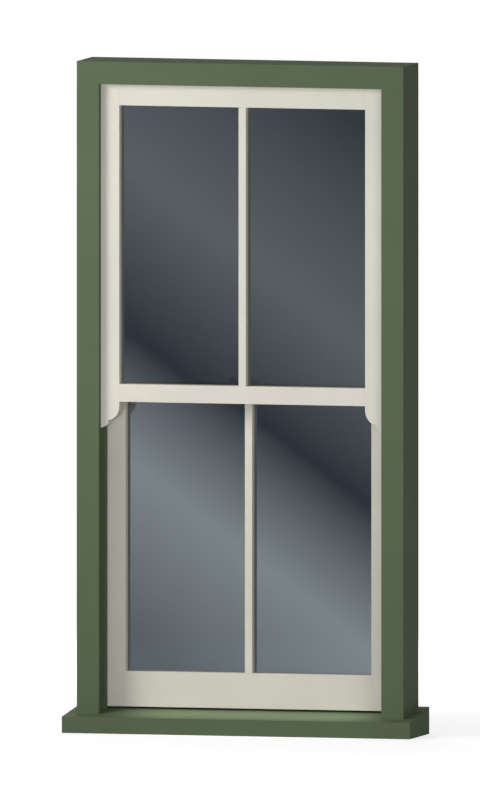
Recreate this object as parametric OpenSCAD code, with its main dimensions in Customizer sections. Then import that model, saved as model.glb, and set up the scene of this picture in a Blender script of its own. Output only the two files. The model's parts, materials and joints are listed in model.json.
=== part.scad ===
// Vertical sliding sash window with solid jambs and spiral balances.
// Millimetres. X runs along the sill, to the right as seen from outside.
// Y runs from the outer face of the frame into the room. Z is up from the sill's underside.

/* [Frame] */
// Width over both jambs
frame_w = 800; // [640:10:1100]
// Height from the underside of the sill to the top of the head
frame_h = 1596; // [1500:1:1900]
// Thickness of the jambs and the head
jamb_t = 40; // [34:1:60]
// How far the outer lip stands over the track
lip_h = 14; // [10:1:20]
// Thickness of the outer lip
lip_t = 20; // [14:1:30]
// Thickness of the parting beads
parting_t = 10; // [9:1:14]
// How far the parting beads stand over the track
parting_h = 15; // [11:1:19]
// Depth of the grooves that hold the parting beads
parting_let = 8; // [5:1:10]
// Thickness of the staff beads
staff_t = 15; // [12:1:22]
// How far the staff beads stand over the track
staff_h = 15; // [12:1:22]
// Radius of the rounded edge of the staff beads
staff_r = 8; // [4:1:11]

/* [Sill] */
// How far the sill stands out in front of the frame
sill_out = 40; // [25:1:80]
// How far each end of the sill runs past its jamb
sill_horn = 26.5; // [10:0.5:60]
// Height of the front edge of the sill
nose_h = 39; // [32:1:60]
// Fall of the top of the sill, in degrees
sill_fall = 6; // [4:0.5:9]
// Height of the step below the bottom rail
step_h = 8; // [6:0.5:12]
// Width of the drip groove
drip_w = 8; // [5:1:12]
// Distance of the drip groove's centre from the front edge
drip_in = 16; // [10:1:22]

/* [Sashes] */
// Thickness of each sash
sash_t = 48; // [44:1:60]
// Running gap in front of each sash and behind it
run_gap = 1; // [0.5:0.1:2]
// Gap between each sash and the jamb
side_gap = 2; // [1:0.5:3]
// Gap between the upper sash and the head
top_gap = 2; // [1:0.5:4]
// Width of the stiles
stile_w = 57; // [50:1:80]
// Height of the top rail
top_rail_h = 63; // [50:1:90]
// Height of the meeting rails
meeting_h = 42; // [38:1:60]
// Height of the bottom rail at the front
bottom_rail_h = 84; // [80:1:130]
// How far the underside of the meeting rails lies below the middle of the frame's height
meeting_drop = 12; // [-30:1:58]
// Gap below the front of the bottom rail
throat_gap = 5.4; // [3:0.1:8]
// Gap below the back of the bottom rail
seat_gap = 0.5; // [0.3:0.1:1]
// Slant of the faces where the meeting rails meet
splay = 2; // [1:0.5:3]
// Gap between the meeting rails
meeting_gap = 0.8; // [0.4:0.1:1.5]
// How far the lower meeting rail stands in front of its stiles
meeting_stand = 1; // [0.5:0.1:1.5]
// Thickness of the tenons
tenon_t = 12; // [8:1:16]
// Wood left between a tenon and the balance groove
tenon_stop = 6; // [3:0.5:9]

/* [Horns] */
// Straight part of the horn below the meeting rail
horn_neck = 9.5; // [4:0.5:16]
// Width of the upper curve of the horn
belly_w = 27; // [20:1:30]
// Height of the upper curve of the horn
belly_h = 34.5; // [25:0.5:45]
// Step between the two curves of the horn
horn_step = 4; // [2:0.5:8]
// Height of the lower curve of the horn
toe_h = 16; // [12:0.5:22]

/* [Glazing] */
// Width of the glazing bars
bar_w = 18; // [16:1:30]
// Distance of the glass from the front of the sash
glass_in = 23; // [16:1:28]
// Thickness of the glass
glass_t = 4; // [3:0.5:8]
// Width of the glazing rebates
rebate_w = 6; // [5:0.5:6.5]
// Gap between the edge of a pane and its rebate
pane_gap = 1.5; // [1:0.5:3]
// Slant of the glazing beads
bead_splay = 3; // [1:0.5:4]

/* [Balances] */
// Outside diameter of the balance tubes
tube_d = 14; // [12:0.5:16]
// Wall of the balance tubes
tube_wall = 1.25; // [1:0.05:1.4]
// Gap between a balance tube and the jamb
tube_gap = 0.3; // [0.2:0.1:0.5]
// Clearance round a balance tube in the groove of its stile
groove_gap = 1; // [0.5:0.1:1.5]
// Thickness of the spiral rods
rod_t = 2; // [1.5:0.1:2.2]
// Height in which a spiral rod makes one turn
rod_pitch = 80; // [70:1:120]
// Length of the turning nut in each tube
nut_l = 10; // [8:0.5:16]
// Height of the foot that holds each rod to its sash
foot_h = 26; // [24:1:34]

/* [Fastener and lifts] */
// Distance of the lever's pivot from the front edge of its rail
pivot_in = 18; // [16:0.5:26]
// Length of the lever's handle from its pivot
handle_l = 42; // [34:1:60]
// Thickness of the lever
lever_t = 5; // [4:0.5:6]
// Diameter of the lever's pivot
pivot_d = 6; // [4:0.5:8]
// Width of each sash lift
lift_w = 40; // [30:1:60]
// Distance of each sash lift from the middle
lift_x = 180; // [100:1:200]
// Thickness of the lifts' metal
lift_t = 3; // [2:0.5:4]
// Finger room in each lift
lift_gap = 22; // [18:1:28]

/* [Hidden] */
$fn = 48;

green = [0.40, 0.45, 0.35];
cream = [0.86, 0.84, 0.79];
slate = [0.28, 0.33, 0.34];
steel = [0.70, 0.71, 0.72];
white = [0.92, 0.92, 0.90];

// Margin by which a cut runs past the wood that it opens
past = 1;

// Frame, seen in plan and from the front
half_w = frame_w / 2;
track_x = half_w - jamb_t;
lip_x = track_x - lip_h;
head_z = frame_h - jamb_t;
lip_z = head_z - lip_h;
track_d = sash_t + 2 * run_gap;
parting_y = lip_t + track_d;
inner_y = parting_y + parting_t;
staff_y = inner_y + track_d;
frame_d = staff_y + staff_t;
bead_x = track_x - parting_h;

// Joints between the frame's members
frame_tenon_t = 14;
frame_tenon_w = 60;
frame_tenon_l = 20;
frame_tenon_in = 12;
frame_tenon_y = lip_t + frame_tenon_in;

// Sashes
upper_y = lip_t + run_gap;
lower_y = inner_y + run_gap;
sash_x = track_x - side_gap;
sight_x = sash_x - stile_w;
meeting_z = frame_h / 2 - meeting_drop;
meeting_top = meeting_z + meeting_h;
upper_top = head_z - top_gap;
upper_open = upper_top - top_rail_h;
belly_z = meeting_z - horn_neck;
toe_z = belly_z - belly_h - horn_step;
horn_z = toe_z - toe_h;

// Sill
step_y = lower_y + sash_t / 2;
step_gap = 1;
function weather_z(y) = nose_h + (y + sill_out) * tan(sill_fall);
ledge_z = weather_z(staff_y) + step_h;
lower_z = weather_z(lower_y) + throat_gap;
lower_open = lower_z + bottom_rail_h;
rail_foot = weather_z(lower_y + sash_t) + step_h + seat_gap;

// Wood left round the tenons of the sashes
tenon_shoulder = 6;
tenon_edge = 8;
tenon_haunch = 14;
mortise_end = 1;

// Meeting faces, each at the foot of its rail
lower_face_y = lower_y - meeting_stand;
upper_face_y = lower_face_y - meeting_gap;
ear_gap = 2;
ear_x = bead_x - ear_gap;

// Glazing
tongue_x = bar_w / 2 - rebate_w;
rebate_x = sight_x + rebate_w;
bead_t = sash_t - glass_in - glass_t;
groove_play = 0.5;
glass_groove = glass_t + groove_play;
mitre_gap = 0.05;
bar_tenon_l = 10;
bar_tenon_in = 8;

// Balances
tube_x = track_x - tube_gap - tube_d / 2;
groove_x = tube_x - tube_d / 2 - groove_gap;
groove_w = tube_d + 2 * groove_gap;
upper_balance_y = upper_y + sash_t / 2;
lower_balance_y = lower_y + sash_t / 2;
tube_bore = tube_d - 2 * tube_wall;
tube_lip = 3;
tube_plug = 24;
tube_foot = 4;
tube_z = meeting_z + tube_foot;
tube_head_gap = 16;
tube_top = head_z - tube_head_gap;
nut_gap = 0.1;
nut_z = tube_z + tube_lip + nut_gap;
nut_d = tube_bore - 2 * nut_gap;
rod_w = tube_d / 2;
mouth_d = (rod_w + nut_d) / 2;
nut_slot_h = 4;
slot_gap = 0.35;
spring_gap = 0.15;
spring_wire = 1.1;
rod_play = 0.3;
foot_bore = rod_w + 2 * rod_play;
foot_lift = 5;
foot_seat = 14;
foot_wall = 1;
foot_side_gap = 0.5;
upper_foot_z = horn_z + foot_lift;
lower_foot_z = weather_z(lower_balance_y) + step_h + seat_gap + foot_lift;
upper_rod_z = upper_foot_z + foot_seat;
lower_rod_z = lower_foot_z + foot_seat;
rod_top_gap = 10;
rod_l = tube_top - tube_plug - rod_top_gap - upper_rod_z;
slices_per_turn = 12;

// Screws
screw_d = 4;
keep_screw_d = 3;
function screw_head_d(d) = 1.9 * d;
function screw_head_h(d) = 0.6 * d;
screw_slot_w = 0.8;
screw_slot_h = 1;
pilot_gap = 0.1;
balance_screw_l = 26;
balance_flat = 3;
balance_flat_h = 20;
balance_screw_z = tube_top - balance_flat_h / 2;
foot_screw_l = 23;
foot_screw_z = 7;
plate_screw_l = 16;

// Fastener
plate_t = 2.5;
pivot_y = lower_face_y - splay + pivot_in;
base_l = 50;
base_w = 20;
base_screw_x = 18;
boss_d = 16;
boss_h = 1.5;
lever_gap = 0.2;
lever_z = meeting_top + plate_t + boss_h + lever_gap;
pivot_gap = 0.05;
rivet_d = 10;
rivet_h = 1.4;
hub_d = 17;
tongue_w = 9;
handle_w = 7;
knob_d = 13;
knob_h = 13;
knob_waist = 2;
knob_foot_h = 2;
keep_clear = 0.4;
keep_y = upper_y + sash_t + keep_clear;
keep_d = upper_face_y - splay - keep_clear - keep_y;
keep_w = 44;
keep_lug_w = 22;
keep_wall = 2;
keep_gap = 0.8;
keep_screw_x = 16.5;
tongue_r = pivot_y - keep_y - keep_wall - keep_gap;

// Lifts
lift_r = lift_gap / 2 + lift_t;
lift_lip_h = 6;
lift_clear = 8;
lift_top_gap = 3.25;
lift_z = ledge_z + staff_h + lift_clear;
lift_plate_h = lower_open - rebate_w - lift_top_gap - lift_z - lift_r;
lift_y = lower_y + sash_t;
lift_screw_x = 12;
lift_screw_z = lift_r + lift_plate_h * 2 / 3;

// Mirrors what is drawn on the right to the left where asked
module on_side(left) {
    mirror([left ? 1 : 0, 0, 0]) children();
}

// Section drawn as depth and stand, run along X and mitred at its ends
module mitred(len, stand, depth, mitre_start = 1, mitre_end = 1) {
    intersection() {
        rotate([90, 0, 90]) linear_extrude(len) children();
        rotate([90, 0, 0])
            translate([0, 0, -depth - past])
                linear_extrude(depth + 2 * past)
                    polygon([
                        [mitre_start * mitre_gap, 0],
                        [len - mitre_end * mitre_gap, 0],
                        [len - mitre_end * (mitre_gap + stand), stand],
                        [mitre_start * (mitre_gap + stand), stand]
                    ]);
    }
}

// Countersunk wood screw that points down, with its head flush at zero
module screw(len, d = screw_d) {
    head_d = screw_head_d(d);
    head_h = screw_head_h(d);
    difference() {
        union() {
            translate([0, 0, -head_h]) cylinder(d1 = d, d2 = head_d, h = head_h);
            translate([0, 0, d - len]) cylinder(d = d, h = len - d - head_h / 2);
            translate([0, 0, -len]) cylinder(d1 = 1, d2 = d, h = d);
        }
        translate([-head_d, -screw_slot_w / 2, -screw_slot_h])
            cube([2 * head_d, screw_slot_w, screw_slot_h + past]);
    }
}

// Room that the same screw takes up in the pieces that it joins
module screw_hole(len, d = screw_d) {
    hole_d = d + 2 * pilot_gap;
    head_d = screw_head_d(d) + 2 * pilot_gap;
    sink_h = screw_head_h(d) + pilot_gap;
    translate([0, 0, -len - pilot_gap]) cylinder(d = hole_d, h = len);
    translate([0, 0, -sink_h]) cylinder(d1 = hole_d, d2 = head_d, h = sink_h);
    cylinder(d = head_d, h = past);
}

// Sill

module sill_solid() {
    rotate([90, 0, 90])
        translate([0, 0, -half_w - sill_horn])
            linear_extrude(2 * (half_w + sill_horn))
                polygon([
                    [-sill_out, 0],
                    [-sill_out, nose_h],
                    [step_y, weather_z(step_y)],
                    [step_y, weather_z(step_y) + step_h],
                    [staff_y, ledge_z],
                    [frame_d, ledge_z],
                    [frame_d, 0]
                ]);
}

module frame_tenon(z, len) {
    translate([half_w - jamb_t / 2 - frame_tenon_t / 2, frame_tenon_y, z])
        cube([frame_tenon_t, frame_tenon_w, len]);
}

module jamb_tenons() {
    foot_z = weather_z(frame_tenon_y) - frame_tenon_l;
    frame_tenon(foot_z, 3 * frame_tenon_l);
    frame_tenon(head_z - frame_tenon_l, 2 * frame_tenon_l);
}

module sill() {
    color(green) difference() {
        sill_solid();
        rotate([90, 0, 90])
            translate([-sill_out + drip_in, 0, -half_w - sill_horn - past])
                cylinder(d = drip_w, h = 2 * (half_w + sill_horn + past));
        on_side(false) jamb_tenons();
        on_side(true) jamb_tenons();
    }
}

// Jambs and head

module jamb_plan() {
    polygon([
        [half_w, 0],
        [lip_x, 0],
        [lip_x, lip_t],
        [track_x, lip_t],
        [track_x, parting_y],
        [track_x + parting_let, parting_y],
        [track_x + parting_let, inner_y],
        [track_x, inner_y],
        [track_x, frame_d],
        [half_w, frame_d]
    ]);
}

module jamb() {
    color(green) difference() {
        union() {
            difference() {
                linear_extrude(head_z) jamb_plan();
                sill_solid();
                translate([0, -past, lip_z]) cube([half_w + past, lip_t + past, lip_h + past]);
            }
            jamb_tenons();
        }
        balance_screw_place(upper_balance_y) screw_hole(balance_screw_l);
        balance_screw_place(lower_balance_y) screw_hole(balance_screw_l);
    }
}

module left_jamb() {
    on_side(true) jamb();
}

module right_jamb() {
    on_side(false) jamb();
}

module head() {
    color(green) difference() {
        union() {
            translate([-half_w, 0, head_z]) cube([frame_w, frame_d, jamb_t]);
            translate([-half_w, 0, lip_z]) cube([frame_w, lip_t, lip_h]);
        }
        translate([-bead_x, parting_y, head_z - past]) cube([2 * bead_x, parting_t, parting_let + past]);
        on_side(false) jamb_tenons();
        on_side(true) jamb_tenons();
    }
}

// Parting and staff beads

module parting_bead() {
    color(green) difference() {
        translate([bead_x, parting_y, 0]) cube([parting_h + parting_let, parting_t, head_z]);
        sill_solid();
    }
}

module left_parting_bead() {
    on_side(true) parting_bead();
}

module right_parting_bead() {
    on_side(false) parting_bead();
}

module head_parting_bead() {
    color(green)
        translate([-bead_x, parting_y, head_z - parting_h])
            cube([2 * bead_x, parting_t, parting_h + parting_let]);
}

module staff_section() {
    difference() {
        square([staff_t, staff_h]);
        translate([staff_t - staff_r, staff_h - staff_r])
            difference() {
                square(staff_r + past);
                circle(staff_r);
            }
    }
}

module staff_length(len) {
    color(green) mitred(len, staff_h, staff_t) staff_section();
}

module left_staff_bead() {
    translate([-track_x, staff_y, head_z]) rotate([0, 90, 0]) staff_length(head_z - ledge_z);
}

module right_staff_bead() {
    translate([track_x, staff_y, ledge_z]) rotate([0, -90, 0]) staff_length(head_z - ledge_z);
}

module head_staff_bead() {
    translate([track_x, staff_y, head_z]) rotate([0, 180, 0]) staff_length(2 * track_x);
}

module sill_staff_bead() {
    translate([-track_x, staff_y, ledge_z]) staff_length(2 * track_x);
}

// Sash members, drawn on the right where they come in pairs

module tenon(y, z0, z1, end_gap = 0) {
    translate([sight_x - past, y + (sash_t - tenon_t) / 2, z0])
        cube([groove_x - tenon_stop - sight_x + past + end_gap, tenon_t, z1 - z0]);
}

module top_tenon(end_gap = 0) {
    tenon(upper_y, upper_open + rebate_w + tenon_shoulder, upper_top - tenon_haunch, end_gap);
}

module upper_meeting_tenon(end_gap = 0) {
    tenon(upper_y, meeting_z + tenon_edge, meeting_top - rebate_w - tenon_shoulder, end_gap);
}

module lower_meeting_tenon(end_gap = 0) {
    tenon(lower_y, meeting_z + rebate_w + tenon_shoulder, meeting_top - tenon_edge, end_gap);
}

module bottom_tenon(end_gap = 0) {
    tenon(lower_y, rail_foot + tenon_haunch, lower_open - rebate_w - tenon_shoulder, end_gap);
}

module bar_tenons(y, z0, z1) {
    translate([-tongue_x, y + bar_tenon_in, z0 - bar_tenon_l])
        cube([2 * tongue_x, sash_t - 2 * bar_tenon_in, z1 - z0 + 2 * bar_tenon_l]);
}

// Cuts for the balance and the glass that both pairs of stiles have
module stile_cuts(y, z0, z1, open0, open1) {
    translate([groove_x, y + (sash_t - groove_w) / 2, z0 - past])
        cube([stile_w, groove_w, z1 - z0 + 2 * past]);
    translate([sight_x - past, y + glass_in, open0])
        cube([rebate_w + past, sash_t - glass_in + past, open1 - open0]);
}

// Quarter of an ellipse to the left of its centre and below it
module quarter_round(wide, high) {
    intersection() {
        scale([wide, high]) circle(1);
        translate([-wide, -high]) square([wide, high]);
    }
}

// Front of a stile with its horn, which steps back between two round stretches
module horned_front() {
    shank_x = sight_x + belly_w;
    translate([sight_x, belly_z]) square([stile_w, upper_top - belly_z]);
    translate([shank_x, toe_z]) square([stile_w - belly_w, belly_z - toe_z]);
    translate([shank_x, belly_z]) quarter_round(belly_w, belly_h);
    translate([sash_x, toe_z]) quarter_round(stile_w - belly_w, toe_h);
}

module upper_stile() {
    color(cream) difference() {
        translate([0, upper_y + sash_t, 0])
            rotate([90, 0, 0])
                linear_extrude(sash_t) horned_front();
        stile_cuts(upper_y, horn_z, upper_top, meeting_top, upper_open + rebate_w);
        translate([sight_x - past, upper_y + glass_in, meeting_top - rebate_w])
            cube([rebate_w + past, glass_groove, rebate_w + past]);
        top_tenon(mortise_end);
        upper_meeting_tenon(mortise_end);
        foot_screw_place(upper_balance_y, upper_foot_z) screw_hole(foot_screw_l);
    }
}

module upper_left_stile() {
    on_side(true) upper_stile();
}

module upper_right_stile() {
    on_side(false) upper_stile();
}

module both_sides() {
    on_side(false) children();
    on_side(true) children();
}

module top_rail() {
    color(cream) difference() {
        union() {
            translate([-sight_x, upper_y, upper_open]) cube([2 * sight_x, sash_t, top_rail_h]);
            both_sides() top_tenon();
        }
        translate([-sight_x - past, upper_y + glass_in, upper_open - past])
            cube([2 * (sight_x + past), sash_t - glass_in + past, rebate_w + past]);
        bar_tenons(upper_y, meeting_top, upper_open);
    }
}

// Section of a meeting rail between its own face and a slanted face
module rail_run(x, points) {
    rotate([90, 0, 90]) translate([0, 0, -x]) linear_extrude(2 * x) polygon(points);
}

module upper_meeting_rail() {
    back_y = upper_y + sash_t;
    color(cream) difference() {
        union() {
            rail_run(sight_x, [
                [upper_y, meeting_z],
                [upper_y, meeting_top],
                [back_y, meeting_top],
                [back_y, meeting_z]
            ]);
            rail_run(ear_x, [
                [back_y, meeting_z],
                [back_y, meeting_top],
                [upper_face_y - splay, meeting_top],
                [upper_face_y, meeting_z]
            ]);
            both_sides() upper_meeting_tenon();
        }
        translate([-sight_x - past, upper_y + glass_in, meeting_top - rebate_w])
            cube([2 * (sight_x + past), glass_groove, rebate_w + past]);
        bar_tenons(upper_y, meeting_top, upper_open);
        both_sides() keep_screw_place() screw_hole(plate_screw_l, keep_screw_d);
    }
}

// Bar with a rebate on each side, its tongue run on into the rebates of the rails
module glazing_bar(y, z0, z1, below) {
    color(cream) {
        translate([-bar_w / 2, y, z0]) cube([bar_w, glass_in, z1 - z0]);
        translate([-tongue_x, y, z0]) cube([2 * tongue_x, sash_t, z1 - z0]);
        translate([-tongue_x, y + glass_in, z0 - below])
            cube([2 * tongue_x, sash_t - glass_in, z1 - z0 + below + rebate_w]);
        bar_tenons(y, z0, z1);
    }
}

module upper_glazing_bar() {
    glazing_bar(upper_y, meeting_top, upper_open, 0);
}

module lower_stile() {
    color(cream) difference() {
        translate([sight_x, lower_y, 0]) cube([stile_w, sash_t, meeting_top]);
        under_sash();
        stile_cuts(lower_y, 0, meeting_top, lower_open - rebate_w, meeting_z + rebate_w);
        lower_meeting_tenon(mortise_end);
        bottom_tenon(mortise_end);
        foot_screw_place(lower_balance_y, lower_foot_z) screw_hole(foot_screw_l);
    }
}

// Everything below the lower sash, which clears the sill's slope and step
module under_sash() {
    front_y = lower_y - past;
    back_y = lower_y + sash_t + past;
    check_y = step_y - step_gap;
    rise = step_h + seat_gap;
    rail_run(half_w, [
        [front_y, -past],
        [front_y, weather_z(front_y) + throat_gap],
        [check_y, weather_z(check_y) + throat_gap],
        [check_y, weather_z(check_y) + rise],
        [back_y, weather_z(back_y) + rise],
        [back_y, -past]
    ]);
}

module lower_left_stile() {
    on_side(true) lower_stile();
}

module lower_right_stile() {
    on_side(false) lower_stile();
}

module bottom_rail() {
    color(cream) difference() {
        union() {
            translate([-sight_x, lower_y, 0]) cube([2 * sight_x, sash_t, lower_open]);
            both_sides() bottom_tenon();
        }
        under_sash();
        translate([-sight_x - past, lower_y + glass_in, lower_open - rebate_w])
            cube([2 * (sight_x + past), sash_t - glass_in + past, rebate_w + past]);
        bar_tenons(lower_y, lower_open, meeting_z);
        for (x = [-lift_x, lift_x]) lift_screw_places(x) screw_hole(plate_screw_l);
    }
}

module lower_meeting_rail() {
    back_y = lower_y + sash_t;
    color(cream) difference() {
        union() {
            rail_run(sight_x, [
                [lower_y, meeting_z],
                [lower_y, meeting_top],
                [back_y, meeting_top],
                [back_y, meeting_z]
            ]);
            rail_run(ear_x, [
                [lower_face_y, meeting_z],
                [lower_face_y - splay, meeting_top],
                [lower_y, meeting_top],
                [lower_y, meeting_z]
            ]);
            both_sides() lower_meeting_tenon();
        }
        translate([-sight_x - past, lower_y + glass_in, meeting_z - past])
            cube([2 * (sight_x + past), sash_t - glass_in + past, rebate_w + past]);
        bar_tenons(lower_y, lower_open, meeting_z);
        both_sides() base_screw_place() screw_hole(plate_screw_l);
    }
}

module lower_glazing_bar() {
    glazing_bar(lower_y, lower_open, meeting_z, rebate_w);
}

// Panes and glazing beads, drawn on the right

module pane(y, z0, z1) {
    x0 = tongue_x + pane_gap;
    x1 = rebate_x - pane_gap;
    color(slate)
        translate([x0, y + glass_in, z0 - rebate_w + pane_gap])
            cube([x1 - x0, glass_t, z1 - z0 + 2 * (rebate_w - pane_gap)]);
}

module bead_section() {
    polygon([
        [0, 0],
        [bead_t, 0],
        [bead_t, rebate_w - bead_splay],
        [0, rebate_w]
    ]);
}

module bead_length(len, mitre_start = 1, mitre_end = 1) {
    color(cream) mitred(len, rebate_w, bead_t, mitre_start, mitre_end) bead_section();
}

// Beads round one pane, without the lower one where the pane stands in a groove
module pane_beads(y, z0, z1, lower_bead) {
    bead_y = y + glass_in + glass_t;
    bottom = lower_bead ? z0 - rebate_w : z0;
    top = z1 + rebate_w;
    mitre = lower_bead ? 1 : 0;
    across = rebate_x - tongue_x;
    translate([rebate_x, bead_y, bottom]) rotate([0, -90, 0]) bead_length(top - bottom, mitre, 1);
    translate([tongue_x, bead_y, top]) rotate([0, 90, 0]) bead_length(top - bottom, 1, mitre);
    translate([rebate_x, bead_y, top]) rotate([0, 180, 0]) bead_length(across);
    if (lower_bead) translate([tongue_x, bead_y, bottom]) bead_length(across);
}

module upper_left_pane() {
    on_side(true) pane(upper_y, meeting_top, upper_open);
}

module upper_right_pane() {
    on_side(false) pane(upper_y, meeting_top, upper_open);
}

module lower_left_pane() {
    on_side(true) pane(lower_y, lower_open, meeting_z);
}

module lower_right_pane() {
    on_side(false) pane(lower_y, lower_open, meeting_z);
}

module upper_left_pane_beads() {
    on_side(true) pane_beads(upper_y, meeting_top, upper_open, false);
}

module upper_right_pane_beads() {
    on_side(false) pane_beads(upper_y, meeting_top, upper_open, false);
}

module lower_left_pane_beads() {
    on_side(true) pane_beads(lower_y, lower_open, meeting_z, true);
}

module lower_right_pane_beads() {
    on_side(false) pane_beads(lower_y, lower_open, meeting_z, true);
}

// Balances, drawn on the right apart from the rods and nuts

module balance_screw_place(y) {
    translate([tube_x - balance_flat, y, balance_screw_z]) rotate([0, -90, 0]) children();
}

module balance_tube(y) {
    color(white) difference() {
        translate([tube_x, y, tube_z]) cylinder(d = tube_d, h = tube_top - tube_z);
        translate([tube_x, y, tube_z - past]) cylinder(d = mouth_d, h = tube_lip + 2 * past);
        translate([tube_x, y, tube_z + tube_lip])
            cylinder(d = tube_bore, h = tube_top - tube_plug - tube_z - tube_lip);
        translate([tube_x - tube_d - balance_flat, y - tube_d, tube_top - balance_flat_h])
            cube([tube_d, 2 * tube_d, balance_flat_h + past]);
        balance_screw_place(y) screw_hole(balance_screw_l);
    }
}

module balance_spring(y) {
    spring_d = tube_bore - 2 * spring_gap;
    spring_z = nut_z + nut_l + nut_gap;
    color(steel) translate([tube_x, y, spring_z])
        difference() {
            cylinder(d = spring_d, h = tube_top - tube_plug - spring_z);
            translate([0, 0, -past]) cylinder(d = spring_d - 2 * spring_wire, h = tube_top);
        }
}

// Nut with a slot for the flat rod, turned to the rod's own angle at that height
module spiral_nut(x, y, rod_z) {
    slot_mid = nut_z + nut_slot_h / 2;
    lean = 180 * nut_slot_h / rod_pitch;
    slot_w = rod_w + 2 * slot_gap;
    slot_t = rod_t + rod_w * sin(lean) + 2 * slot_gap;
    color(white) translate([x, y, nut_z])
        difference() {
            cylinder(d = nut_d, h = nut_l);
            rotate(360 * (slot_mid - rod_z) / rod_pitch)
                translate([-slot_w / 2, -slot_t / 2, -past])
                    cube([slot_w, slot_t, nut_slot_h + 2 * past]);
            translate([0, 0, nut_slot_h]) cylinder(d = mouth_d, h = nut_l);
        }
}

// Flat rod twisted to the right, the same on both sides of the window
module spiral_rod(x, y, z) {
    turns = rod_l / rod_pitch;
    color(steel) translate([x, y, z])
        linear_extrude(rod_l, twist = -360 * turns, slices = ceil(turns * slices_per_turn), segments = 4)
            square([rod_w, rod_t], center = true);
}

module foot_screw_place(y, z) {
    translate([tube_x + foot_bore / 2 + foot_wall, y, z + foot_screw_z]) rotate([0, 90, 0]) children();
}

module rod_foot(y, z) {
    foot_w = groove_w - 2 * foot_side_gap;
    foot_x = tube_x + foot_bore / 2 + foot_wall;
    color(white) difference() {
        translate([groove_x, y - foot_w / 2, z]) cube([foot_x - groove_x, foot_w, foot_h]);
        translate([tube_x, y, z + foot_seat]) cylinder(d = foot_bore, h = foot_h);
        foot_screw_place(y, z) screw_hole(foot_screw_l);
    }
}

module upper_left_balance_tube() {
    on_side(true) balance_tube(upper_balance_y);
}

module upper_right_balance_tube() {
    on_side(false) balance_tube(upper_balance_y);
}

module lower_left_balance_tube() {
    on_side(true) balance_tube(lower_balance_y);
}

module lower_right_balance_tube() {
    on_side(false) balance_tube(lower_balance_y);
}

module upper_left_balance_spring() {
    on_side(true) balance_spring(upper_balance_y);
}

module upper_right_balance_spring() {
    on_side(false) balance_spring(upper_balance_y);
}

module lower_left_balance_spring() {
    on_side(true) balance_spring(lower_balance_y);
}

module lower_right_balance_spring() {
    on_side(false) balance_spring(lower_balance_y);
}

module upper_left_spiral_nut() {
    spiral_nut(-tube_x, upper_balance_y, upper_rod_z);
}

module upper_right_spiral_nut() {
    spiral_nut(tube_x, upper_balance_y, upper_rod_z);
}

module lower_left_spiral_nut() {
    spiral_nut(-tube_x, lower_balance_y, lower_rod_z);
}

module lower_right_spiral_nut() {
    spiral_nut(tube_x, lower_balance_y, lower_rod_z);
}

module upper_left_spiral_rod() {
    spiral_rod(-tube_x, upper_balance_y, upper_rod_z);
}

module upper_right_spiral_rod() {
    spiral_rod(tube_x, upper_balance_y, upper_rod_z);
}

module lower_left_spiral_rod() {
    spiral_rod(-tube_x, lower_balance_y, lower_rod_z);
}

module lower_right_spiral_rod() {
    spiral_rod(tube_x, lower_balance_y, lower_rod_z);
}

module upper_left_rod_foot() {
    on_side(true) rod_foot(upper_balance_y, upper_foot_z);
}

module upper_right_rod_foot() {
    on_side(false) rod_foot(upper_balance_y, upper_foot_z);
}

module lower_left_rod_foot() {
    on_side(true) rod_foot(lower_balance_y, lower_foot_z);
}

module lower_right_rod_foot() {
    on_side(false) rod_foot(lower_balance_y, lower_foot_z);
}

module balance_screws() {
    color(steel) both_sides() {
        balance_screw_place(upper_balance_y) screw(balance_screw_l);
        balance_screw_place(lower_balance_y) screw(balance_screw_l);
    }
}

// Fastener on the meeting rails

module base_screw_place() {
    translate([base_screw_x, pivot_y, meeting_top + plate_t]) children();
}

module keep_screw_place() {
    translate([keep_screw_x, keep_y + keep_d / 2, meeting_top + plate_t]) children();
}

module round_plate(len, wide, high) {
    linear_extrude(high) {
        square([len - wide, wide], center = true);
        for (x = [-1, 1]) translate([x * (len - wide) / 2, 0]) circle(d = wide);
    }
}

module fastener_base() {
    pin_h = boss_h + 2 * lever_gap + lever_t;
    color(steel) difference() {
        translate([0, pivot_y, meeting_top]) {
            round_plate(base_l, base_w, plate_t);
            translate([0, 0, plate_t]) cylinder(d = boss_d, h = boss_h);
            translate([0, 0, plate_t]) cylinder(d = pivot_d, h = pin_h + rivet_h);
            translate([0, 0, plate_t + pin_h]) cylinder(d = rivet_d, h = rivet_h);
        }
        both_sides() base_screw_place() screw_hole(plate_screw_l);
    }
}

module lever_plan() {
    circle(d = hub_d);
    translate([0, -tongue_w / 2]) square([tongue_r - tongue_w / 2, tongue_w]);
    translate([tongue_r - tongue_w / 2, 0]) circle(d = tongue_w);
    translate([-handle_l, -handle_w / 2]) square([handle_l, handle_w]);
}

module fastener_lever() {
    color(steel) translate([0, pivot_y, lever_z])
        difference() {
            union() {
                linear_extrude(lever_t) lever_plan();
                translate([-handle_l, 0, 0]) lever_knob();
            }
            translate([0, 0, -past]) cylinder(d = pivot_d + 2 * pivot_gap, h = lever_t + 2 * past);
        }
}

// Turned knob with a waist and a domed top
module lever_knob() {
    waist_r = knob_d / 2 - knob_waist;
    rotate_extrude()
        difference() {
            union() {
                square([waist_r, knob_h]);
                translate([0, knob_h - knob_d / 2]) intersection() {
                    circle(d = knob_d);
                    translate([0, -knob_d]) square([knob_d, 2 * knob_d]);
                }
                square([knob_d / 2, knob_foot_h]);
            }
            translate([-knob_d, -knob_d]) square([knob_d, 4 * knob_d]);
        }
}

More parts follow.
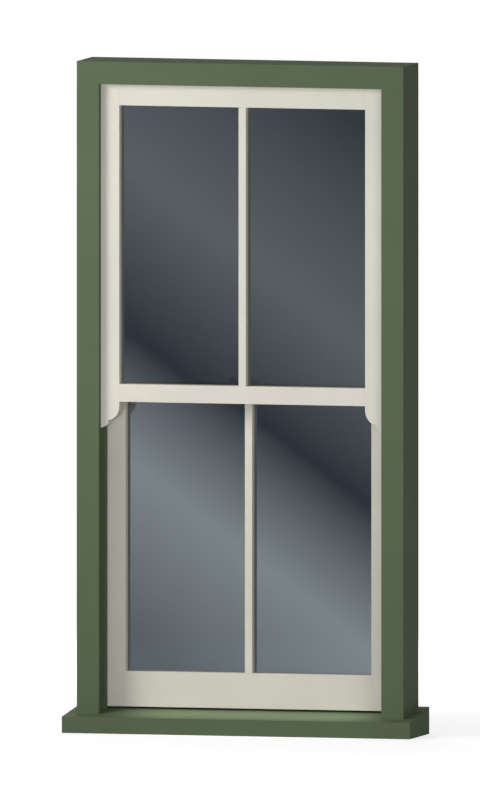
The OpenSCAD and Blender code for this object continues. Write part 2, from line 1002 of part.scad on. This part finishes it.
// Keep with a lug that is open towards the lower sash, so that the tongue turns in below it
module fastener_keep() {
    lug_z = lever_z + lever_t + keep_gap;
    color(steel) difference() {
        union() {
            translate([-keep_w / 2, keep_y, meeting_top]) cube([keep_w, keep_d, plate_t]);
            translate([-keep_lug_w / 2, keep_y, meeting_top])
                cube([keep_lug_w, keep_wall, lug_z + plate_t - meeting_top]);
            translate([-keep_lug_w / 2, keep_y, lug_z]) cube([keep_lug_w, keep_d, plate_t]);
        }
        both_sides() keep_screw_place() screw_hole(plate_screw_l, keep_screw_d);
    }
}

// Lifts on the bottom rail

module lift_screw_places(x) {
    for (side = [-1, 1])
        translate([x + side * lift_screw_x, lift_y + lift_t, lift_z + lift_screw_z])
            rotate([-90, 0, 0]) children();
}

// Plate, curl and upturned lip, as depth and height
module lift_section() {
    lip_r = lift_t / 2;
    translate([0, lift_r]) square([lift_t, lift_plate_h]);
    translate([lift_r, lift_r]) difference() {
        circle(lift_r);
        circle(lift_r - lift_t);
        translate([-2 * lift_r, 0]) square(4 * lift_r);
    }
    translate([2 * lift_r - lift_t, lift_r]) square([lift_t, lift_lip_h]);
    translate([2 * lift_r - lip_r, lift_r + lift_lip_h]) circle(lip_r);
}

module sash_lift(x) {
    color(steel) difference() {
        translate([x - lift_w / 2, lift_y, lift_z]) rotate([90, 0, 90]) linear_extrude(lift_w) lift_section();
        lift_screw_places(x) screw_hole(plate_screw_l);
    }
}

module left_sash_lift() {
    sash_lift(-lift_x);
}

module right_sash_lift() {
    sash_lift(lift_x);
}

// Screws that ride on each sash

module upper_sash_screws() {
    color(steel) both_sides() {
        foot_screw_place(upper_balance_y, upper_foot_z) screw(foot_screw_l);
        keep_screw_place() screw(plate_screw_l, keep_screw_d);
    }
}

module lower_sash_screws() {
    color(steel) {
        both_sides() {
            foot_screw_place(lower_balance_y, lower_foot_z) screw(foot_screw_l);
            base_screw_place() screw(plate_screw_l);
        }
        for (x = [-lift_x, lift_x]) lift_screw_places(x) screw(plate_screw_l);
    }
}

sill();
left_jamb();
right_jamb();
head();
left_parting_bead();
right_parting_bead();
head_parting_bead();
left_staff_bead();
right_staff_bead();
head_staff_bead();
sill_staff_bead();
upper_left_balance_tube();
upper_right_balance_tube();
lower_left_balance_tube();
lower_right_balance_tube();
upper_left_balance_spring();
upper_right_balance_spring();
lower_left_balance_spring();
lower_right_balance_spring();
balance_screws();
upper_left_stile();
upper_right_stile();
top_rail();
upper_meeting_rail();
upper_glazing_bar();
upper_left_pane();
upper_right_pane();
upper_left_pane_beads();
upper_right_pane_beads();
upper_left_spiral_rod();
upper_right_spiral_rod();
upper_left_rod_foot();
upper_right_rod_foot();
fastener_keep();
upper_sash_screws();
lower_left_stile();
lower_right_stile();
bottom_rail();
lower_meeting_rail();
lower_glazing_bar();
lower_left_pane();
lower_right_pane();
lower_left_pane_beads();
lower_right_pane_beads();
lower_left_spiral_rod();
lower_right_spiral_rod();
lower_left_rod_foot();
lower_right_rod_foot();
fastener_base();
left_sash_lift();
right_sash_lift();
lower_sash_screws();
fastener_lever();
upper_left_spiral_nut();
upper_right_spiral_nut();
lower_left_spiral_nut();
lower_right_spiral_nut();
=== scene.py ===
import json
import math

import bpy
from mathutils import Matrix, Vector


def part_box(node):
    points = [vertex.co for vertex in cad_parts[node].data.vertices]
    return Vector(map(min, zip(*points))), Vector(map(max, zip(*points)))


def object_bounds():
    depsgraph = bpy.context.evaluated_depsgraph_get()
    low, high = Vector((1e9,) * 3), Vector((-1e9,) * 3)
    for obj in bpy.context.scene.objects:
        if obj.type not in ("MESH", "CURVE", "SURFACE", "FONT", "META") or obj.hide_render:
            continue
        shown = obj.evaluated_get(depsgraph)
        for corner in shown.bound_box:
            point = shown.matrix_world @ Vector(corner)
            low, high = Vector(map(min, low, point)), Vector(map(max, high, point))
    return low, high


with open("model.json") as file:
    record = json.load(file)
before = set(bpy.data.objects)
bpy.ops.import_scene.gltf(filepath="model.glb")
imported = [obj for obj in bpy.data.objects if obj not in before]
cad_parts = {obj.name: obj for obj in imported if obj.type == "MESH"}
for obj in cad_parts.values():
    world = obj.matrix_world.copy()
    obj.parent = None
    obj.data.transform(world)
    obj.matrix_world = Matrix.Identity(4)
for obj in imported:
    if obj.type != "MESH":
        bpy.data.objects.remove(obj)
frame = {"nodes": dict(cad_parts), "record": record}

cad_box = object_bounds()
nodes = frame["nodes"]
slot_of = {part["node"]: part["material_slot"] for part in frame["record"]["subparts"]}

# Colours of the surfaces, linear
GREEN = (0.121, 0.161, 0.092)
CREAM = (0.800, 0.766, 0.680)
GLASS = (0.020, 0.029, 0.041)
STEEL = (0.560, 0.565, 0.570)
PLASTIC = (0.760, 0.760, 0.735)

# Middle part of a noise, over which colours and roughness change
NOISE_REACH = (0.3, 0.7)

# Stretch of brush marks on upright and on level pieces, and of the lines on brushed steel
MARKS_UPRIGHT = (1.0, 1.0, 0.05)
MARKS_LEVEL = (0.05, 1.0, 1.0)
STEEL_LINES = (0.04, 1.0, 1.0)

# Rounding of the edges, metres
WOOD_EDGE = 0.0005
METAL_EDGE = 0.0004
EDGE_SEGMENTS = 2

# Words in the names of the steel pieces that are too fine for rounding
FINE_STEEL = ("rod", "spring")

# Edges bent more than this are rounded, and any that are left stay sharp in the shading, degrees
SHARP_ANGLE = 40.0

# Points closer than this are welded, metres, and faces flatter than this are joined, degrees
WELD_DISTANCE = 0.00001
FLAT_ANGLE = 0.5

# Camera fitted to the photo: degrees, metres over the image's height, aim just below the window's middle
AZIMUTH = 14.4
ELEVATION = 4.13
IMAGE_HEIGHT = 1.898
AIM_DROP = 0.0012
AIM = Vector((0.0, 0.0, cad_box[1][2] / 2 - AIM_DROP))
CAMERA_DISTANCE = 6.0
CAMERA_REACH = 60.0

# World: its light, and the white that camera, mirrors and glass see
SKY = (0.97, 0.99, 1.0, 1.0)
SKY_STRENGTH = 0.145
WHITE = (1.0, 1.0, 1.0, 1.0)

# Floor: half its side and its height in metres, and its matt surface
FLOOR_HALF = 7.0
FLOOR_Z = -0.0004
FLOOR = (0.45, 0.45, 0.45, 1.0)
FLOOR_ROUGHNESS = 0.9
FLOOR_GLOSS = 0.0

# Glow of the floor near the window, where the shadow shows, and far from it, with the distances in metres
FLOOR_GLOW = (0.74, 0.955)
GLOW_DISTANCE = (0.5, 2.0)

# Glowing card in metres, painted with bands that the panes show as reflections: it stands in front of the
# window and sweeps down onto the floor
CARD_Y = -1.3
CARD_FOOT_Y = -0.06
CARD_TOP = 2.6
CARD_HALF = 4.0
CARD_BEND = 0.15
CARD_BEND_STEPS = 12
CARD_LIFT = 0.001

# Painted reflection bands of the glowing card: place and level of each stop, from upper right to lower
# left
CARD_STOPS = ((0.0, 0.096), (0.141, 0.275), (0.314, 0.455), (0.553, 0.045), (0.757, 1.0), (1.0, 0.43))
CARD_TINT = (0.87, 0.985, 1.0)
CARD_STRENGTH = 0.84

# The bands run across this slope, degrees below level, over this reach along it, metres
CARD_SLOPE = 53.474
CARD_SLANT = (-math.cos(math.radians(CARD_SLOPE)), 0.0, -math.sin(math.radians(CARD_SLOPE)))
CARD_REACH = (-1.049, 0.290)

# Round soft boxes aimed at the window: place and diameter in metres, power in watts
SOFT_BOXES = {
    "key": ((-1.80, -1.75, 2.05), 1.3, 40.0),
    "fill": ((0.3, -2.8, 0.7), 2.5, 29.0),
    "side": ((2.2, -2.2, 0.9), 1.5, 15.0),
    "room": ((-0.9, 2.9, 1.3), 1.6, 45.0),
}

# Narrow strip above the sill: metres, spread of its beam in degrees, power in watts
STRIP_PLACE = (0.03, -0.12, 1.40)
STRIP_TARGET = Vector((0.03, 0.016, 0.06))
STRIP_LENGTH = 0.56
STRIP_WIDTH = 0.04
STRIP_SPREAD = 8.0
STRIP_POWER = 0.2


def direction(azimuth, elevation):
    """Unit vector from the window towards a viewer at that angle, zero azimuth straight outside."""
    turn = math.radians(azimuth)
    rise = math.radians(elevation)
    return Vector((math.sin(turn) * math.cos(rise), -math.cos(turn) * math.cos(rise), math.sin(rise)))


def aim(obj, target):
    """Turns a lamp or camera to face a point."""
    obj.rotation_euler = (target - obj.location).to_track_quat("-Z", "Y").to_euler()


def scaled(colour, factor):
    """Colour made lighter or darker, with full alpha."""
    return tuple(min(1.0, c * factor) for c in colour) + (1.0,)


def map_range(tree, source, reach, result=(0.0, 1.0), shape="LINEAR"):
    """Output that runs between two results while its source runs over a reach."""
    made = tree.nodes.new("ShaderNodeMapRange")
    made.interpolation_type = shape
    for socket, value in zip(("From Min", "From Max", "To Min", "To Max"), reach + result):
        made.inputs[socket].default_value = value
    tree.links.new(source, made.inputs["Value"])
    return made.outputs["Result"]


class Surface:
    """A material with a Principled shader and short ways to vary it by noise."""

    def __init__(self, name):
        self.material = bpy.data.materials.new(name)
        self.material.use_nodes = True
        self.tree = self.material.node_tree
        self.shader = self.tree.nodes["Principled BSDF"]
        self.place = self.node("ShaderNodeTexCoord").outputs["Object"]

    def node(self, kind, **inputs):
        """New node with some of its inputs set."""
        made = self.tree.nodes.new(kind)
        for key, value in inputs.items():
            made.inputs[key].default_value = value
        return made

    def link(self, output, target):
        """Joins an output of one node to an input of another."""
        self.tree.links.new(output, target)

    def constant(self, socket, value):
        """Sets what is the same all over the surface."""
        self.shader.inputs[socket].default_value = value

    def noise(self, scale, detail, stretch=(1.0, 1.0, 1.0)):
        """Noise with about as many marks to the metre as its scale says."""
        mapping = self.node("ShaderNodeMapping", Scale=stretch)
        self.link(self.place, mapping.inputs["Vector"])
        made = self.node("ShaderNodeTexNoise", Scale=scale, Detail=detail)
        self.link(mapping.outputs["Vector"], made.inputs["Vector"])
        return made.outputs["Fac"]

    def colour(self, noise, base, darkest, lightest):
        """Colour that a noise varies between two multiples of its base."""
        ramp = self.node("ShaderNodeValToRGB")
        stops = zip(ramp.color_ramp.elements, NOISE_REACH, (darkest, lightest))
        for element, place, factor in stops:
            element.position = place
            element.color = scaled(base, factor)
        self.link(noise, ramp.inputs["Fac"])
        self.link(ramp.outputs["Color"], self.shader.inputs["Base Color"])

    def roughness(self, noise, least, most):
        """Roughness that a noise varies between two limits."""
        level = map_range(self.tree, noise, NOISE_REACH, (least, most))
        self.link(level, self.shader.inputs["Roughness"])

    def bump(self, noise, strength, distance):
        """Relief that follows a noise, with its depth in metres."""
        made = self.node("ShaderNodeBump", Strength=strength, Distance=distance)
        self.link(noise, made.inputs["Height"])
        self.link(made.outputs["Normal"], self.shader.inputs["Normal"])


def paint(name, colour, grain):
    """Brushed paint on timber: marks along the grain and a slow change of tone."""
    surface = Surface(name)
    tone = surface.noise(scale=5.0, detail=3.0)
    marks = surface.noise(scale=420.0, detail=4.0, stretch=grain)
    surface.colour(tone, colour, darkest=0.965, lightest=1.035)
    surface.roughness(marks, least=0.50, most=0.62)
    surface.bump(marks, strength=0.25, distance=0.0002)
    surface.constant("Specular IOR Level", 0.01)
    return surface.material


def coated_glass(name):
    """Dark coated pane that mirrors about a quarter of the light, with the faintest unevenness."""
    surface = Surface(name)
    haze = surface.noise(scale=14.0, detail=2.0)
    surface.roughness(haze, least=0.0, most=0.02)
    surface.colour(haze, GLASS, darkest=0.98, lightest=1.02)
    surface.constant("IOR", 3.0)
    surface.constant("Transmission Weight", 1.0)
    return surface.material


def satin_metal(name):
    """Satin steel with fine lines from brushing."""
    surface = Surface(name)
    lines = surface.noise(scale=900.0, detail=2.0, stretch=STEEL_LINES)
    surface.colour(lines, STEEL, darkest=0.92, lightest=1.06)
    surface.roughness(lines, least=0.28, most=0.40)
    surface.bump(lines, strength=0.15, distance=0.0001)
    surface.constant("Metallic", 1.0)
    return surface.material


def moulded_plastic(name):
    """White plastic with the fine grain of a mould."""
    surface = Surface(name)
    grain = surface.noise(scale=1500.0, detail=2.0)
    tone = surface.noise(scale=9.0, detail=2.0)
    surface.colour(tone, PLASTIC, darkest=0.97, lightest=1.02)
    surface.roughness(grain, least=0.42, most=0.55)
    surface.bump(grain, strength=0.2, distance=0.0001)
    surface.constant("Specular IOR Level", 0.4)
    return surface.material


def runs_upright(name):
    """True for a node that is taller than it is wide."""
    low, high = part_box(name)
    size = high - low
    return size.z > size.x


def smooth_shading():
    """Geometry nodes that drop the imported normals and keep only the sharp edges sharp."""
    group = bpy.data.node_groups.new("smooth_shading", "GeometryNodeTree")
    group.interface.new_socket("Geometry", in_out="INPUT", socket_type="NodeSocketGeometry")
    group.interface.new_socket("Geometry", in_out="OUTPUT", socket_type="NodeSocketGeometry")
    first = group.nodes.new("NodeGroupInput")
    last = group.nodes.new("NodeGroupOutput")
    forget = group.nodes.new("GeometryNodeRemoveAttribute")
    forget.inputs["Name"].default_value = "custom_normal"
    faces = group.nodes.new("GeometryNodeSetShadeSmooth")
    faces.domain = "FACE"
    edges = group.nodes.new("GeometryNodeSetShadeSmooth")
    edges.domain = "EDGE"
    angle = group.nodes.new("GeometryNodeInputMeshEdgeAngle")
    soft = group.nodes.new("FunctionNodeCompare")
    soft.operation = "LESS_THAN"
    soft.inputs["B"].default_value = math.radians(SHARP_ANGLE)
    group.links.new(angle.outputs["Unsigned Angle"], soft.inputs["A"])
    group.links.new(soft.outputs["Result"], edges.inputs["Shade Smooth"])
    group.links.new(first.outputs[0], forget.inputs["Geometry"])
    group.links.new(forget.outputs["Geometry"], faces.inputs["Geometry"])
    group.links.new(faces.outputs["Geometry"], edges.inputs["Geometry"])
    group.links.new(edges.outputs["Geometry"], last.inputs[0])
    return group


def soften(obj, width, shading):
    """Rounds the sharp edges of a CAD solid by modifiers, which leave its mesh as it is."""
    weld = obj.modifiers.new("weld", "WELD")
    weld.merge_threshold = WELD_DISTANCE
    flat = obj.modifiers.new("flat_faces", "DECIMATE")
    flat.decimate_type = "DISSOLVE"
    flat.angle_limit = math.radians(FLAT_ANGLE)
    bevel = obj.modifiers.new("edges", "BEVEL")
    bevel.width = width
    bevel.segments = EDGE_SEGMENTS
    bevel.limit_method = "ANGLE"
    bevel.angle_limit = math.radians(SHARP_ANGLE)
    normals = obj.modifiers.new("shading", "NODES")
    normals.node_group = shading
    even = obj.modifiers.new("even_faces", "WEIGHTED_NORMAL")
    even.keep_sharp = True


def dress_nodes():
    """Gives each CAD node its material, and rounds the edges of the wood and the steel fittings."""
    painted = {
        ("green_paint", True): paint("green_paint_upright", GREEN, MARKS_UPRIGHT),
        ("green_paint", False): paint("green_paint_level", GREEN, MARKS_LEVEL),
        ("cream_paint", True): paint("cream_paint_upright", CREAM, MARKS_UPRIGHT),
        ("cream_paint", False): paint("cream_paint_level", CREAM, MARKS_LEVEL),
    }
    plain = {
        "glass": coated_glass("tinted_glass"),
        "satin_steel": satin_metal("satin_steel"),
        "white_plastic": moulded_plastic("white_plastic"),
    }
    shading = smooth_shading()
    for name, obj in nodes.items():
        slot = slot_of[name]
        material = plain.get(slot) or painted[(slot, runs_upright(name))]
        obj.data.materials.clear()
        obj.data.materials.append(material)
        if slot not in plain:
            soften(obj, WOOD_EDGE, shading)
        elif slot == "satin_steel" and not any(word in name for word in FINE_STEEL):
            soften(obj, METAL_EDGE, shading)


def stage_sheet(name, corners, faces, material):
    """Piece of the stage made of flat faces."""
    mesh = bpy.data.meshes.new(name)
    mesh.from_pydata(corners, [], faces)
    mesh.materials.append(material)
    obj = bpy.data.objects.new(name, mesh)
    bpy.context.scene.collection.objects.link(obj)
    return obj


def hide_from(obj, rays):
    """Lets the named kinds of ray pass as if the object weren't there."""
    for ray in rays:
        setattr(obj, "visible_" + ray, False)


def seen_rays(tree):
    """One where a camera, mirror or glass ray arrives, zero for other rays."""
    path = tree.nodes.new("ShaderNodeLightPath")
    total = path.outputs["Is Camera Ray"]
    for name in ("Is Glossy Ray", "Is Transmission Ray"):
        either = tree.nodes.new("ShaderNodeMath")
        either.operation = "MAXIMUM"
        tree.links.new(total, either.inputs[0])
        tree.links.new(path.outputs[name], either.inputs[1])
        total = either.outputs[0]
    return total


def make_world():
    """Even light from all round, which camera, mirrors and glass see as plain white."""
    world = bpy.data.worlds.new("studio")
    bpy.context.scene.world = world
    world.use_nodes = True
    tree = world.node_tree
    light = tree.nodes["Background"]
    light.inputs["Color"].default_value = SKY
    light.inputs["Strength"].default_value = SKY_STRENGTH
    white = tree.nodes.new("ShaderNodeBackground")
    white.inputs["Color"].default_value = WHITE
    mix = tree.nodes.new("ShaderNodeMixShader")
    tree.links.new(seen_rays(tree), mix.inputs["Fac"])
    tree.links.new(light.outputs[0], mix.inputs[1])
    tree.links.new(white.outputs[0], mix.inputs[2])
    tree.links.new(mix.outputs[0], tree.nodes["World Output"].inputs["Surface"])


def floor_glow(tree):
    """Glow that brings the lit floor to white and leaves the shadow near the window."""
    coordinates = tree.nodes.new("ShaderNodeTexCoord")
    distance = tree.nodes.new("ShaderNodeVectorMath")
    distance.operation = "LENGTH"
    tree.links.new(coordinates.outputs["Object"], distance.inputs[0])
    level = map_range(tree, distance.outputs["Value"], GLOW_DISTANCE, FLOOR_GLOW, "SMOOTHSTEP")
    seen = tree.nodes.new("ShaderNodeMath")
    seen.operation = "MULTIPLY"
    tree.links.new(level, seen.inputs[0])
    tree.links.new(seen_rays(tree), seen.inputs[1])
    return seen.outputs[0]


def floor_material():
    """Pale matt floor with a glow on top."""
    material = bpy.data.materials.new("pale_floor")
    material.use_nodes = True
    tree = material.node_tree
    matt = tree.nodes["Principled BSDF"]
    matt.inputs["Base Color"].default_value = FLOOR
    matt.inputs["Roughness"].default_value = FLOOR_ROUGHNESS
    matt.inputs["Specular IOR Level"].default_value = FLOOR_GLOSS
    glow = tree.nodes.new("ShaderNodeEmission")
    tree.links.new(floor_glow(tree), glow.inputs["Strength"])
    both = tree.nodes.new("ShaderNodeAddShader")
    tree.links.new(matt.outputs[0], both.inputs[0])
    tree.links.new(glow.outputs[0], both.inputs[1])
    tree.links.new(both.outputs[0], tree.nodes["Material Output"].inputs["Surface"])
    return material


def make_floor():
    """Square floor just below the sill."""
    signs = ((-1, -1), (1, -1), (1, 1), (-1, 1))
    corners = [(x * FLOOR_HALF, y * FLOOR_HALF, FLOOR_Z) for x, y in signs]
    stage_sheet("floor", corners, [(0, 1, 2, 3)], floor_material())


def card_profile():
    """Points (y, z) of the card from its foot by the window, round the bend and up to its top."""
    points = [(CARD_FOOT_Y, CARD_LIFT)]
    for step in range(CARD_BEND_STEPS + 1):
        turn = math.radians(90.0) * step / CARD_BEND_STEPS
        y = CARD_Y + CARD_BEND * (1.0 - math.sin(turn))
        z = CARD_LIFT + CARD_BEND * (1.0 - math.cos(turn))
        points.append((y, z))
    points.append((CARD_Y, CARD_TOP))
    return points


def card_material():
    """Glow in soft painted bands that run across the slant and show in the panes as reflections."""
    material = bpy.data.materials.new("painted_reflection_bands")
    material.use_nodes = True
    tree = material.node_tree
    tree.nodes.remove(tree.nodes["Principled BSDF"])
    coordinates = tree.nodes.new("ShaderNodeTexCoord")
    along = tree.nodes.new("ShaderNodeVectorMath")
    along.operation = "DOT_PRODUCT"
    along.inputs[1].default_value = CARD_SLANT
    tree.links.new(coordinates.outputs["Object"], along.inputs[0])
    ramp = tree.nodes.new("ShaderNodeValToRGB")
    elements = ramp.color_ramp.elements
    for place, level in CARD_STOPS[1:-1]:
        elements.new(place)
    for element, (place, level) in zip(elements, CARD_STOPS):
        element.position = place
        element.color = scaled(CARD_TINT, level)
    tree.links.new(map_range(tree, along.outputs["Value"], CARD_REACH), ramp.inputs["Fac"])
    glow = tree.nodes.new("ShaderNodeEmission")
    glow.inputs["Strength"].default_value = CARD_STRENGTH
    tree.links.new(ramp.outputs["Color"], glow.inputs["Color"])
    tree.links.new(glow.outputs[0], tree.nodes["Material Output"].inputs["Surface"])
    return material


def make_card():
    """Glowing card that only mirrors and gloss see, painted with the bands that the panes show as
    reflections.
    """
    points = card_profile()
    corners = [(x, y, z) for y, z in points for x in (-CARD_HALF, CARD_HALF)]
    faces = [(2 * i, 2 * i + 1, 2 * i + 3, 2 * i + 2) for i in range(len(points) - 1)]
    card = stage_sheet("painted_reflection_card", corners, faces, card_material())
    hide_from(card, ("camera", "diffuse", "transmission", "volume_scatter", "shadow"))


def add_lamp(name, place, target, power, **form):
    """Area lamp that lights the window but isn't seen, not even in a mirror or through glass."""
    lamp = bpy.data.lights.new(name, "AREA")
    lamp.energy = power
    for key, value in form.items():
        setattr(lamp, key, value)
    obj = bpy.data.objects.new(name, lamp)
    obj.location = place
    bpy.context.scene.collection.objects.link(obj)
    aim(obj, target)
    hide_from(obj, ("camera", "glossy", "transmission"))


def make_lamps():
    """Soft boxes round the window and the strip that lights the sill's top."""
    for name, (place, size, power) in SOFT_BOXES.items():
        add_lamp(name, place, AIM, power, shape="DISK", size=size)
    strip = {
        "shape": "RECTANGLE",
        "size": STRIP_LENGTH,
        "size_y": STRIP_WIDTH,
        "spread": math.radians(STRIP_SPREAD),
    }
    add_lamp("sill_strip", STRIP_PLACE, STRIP_TARGET, STRIP_POWER, **strip)


def make_camera():
    """Parallel camera at the photo's viewing angle."""
    data = bpy.data.cameras.new("camera")
    data.type = "ORTHO"
    data.ortho_scale = IMAGE_HEIGHT
    data.clip_end = CAMERA_REACH
    camera = bpy.data.objects.new("camera", data)
    camera.location = AIM + direction(AZIMUTH, ELEVATION) * CAMERA_DISTANCE
    bpy.context.scene.collection.objects.link(camera)
    aim(camera, AIM)
    bpy.context.scene.camera = camera


make_camera()
dress_nodes()
make_world()
make_floor()
make_card()
make_lamps()
bpy.context.scene.view_settings.view_transform = "Standard"
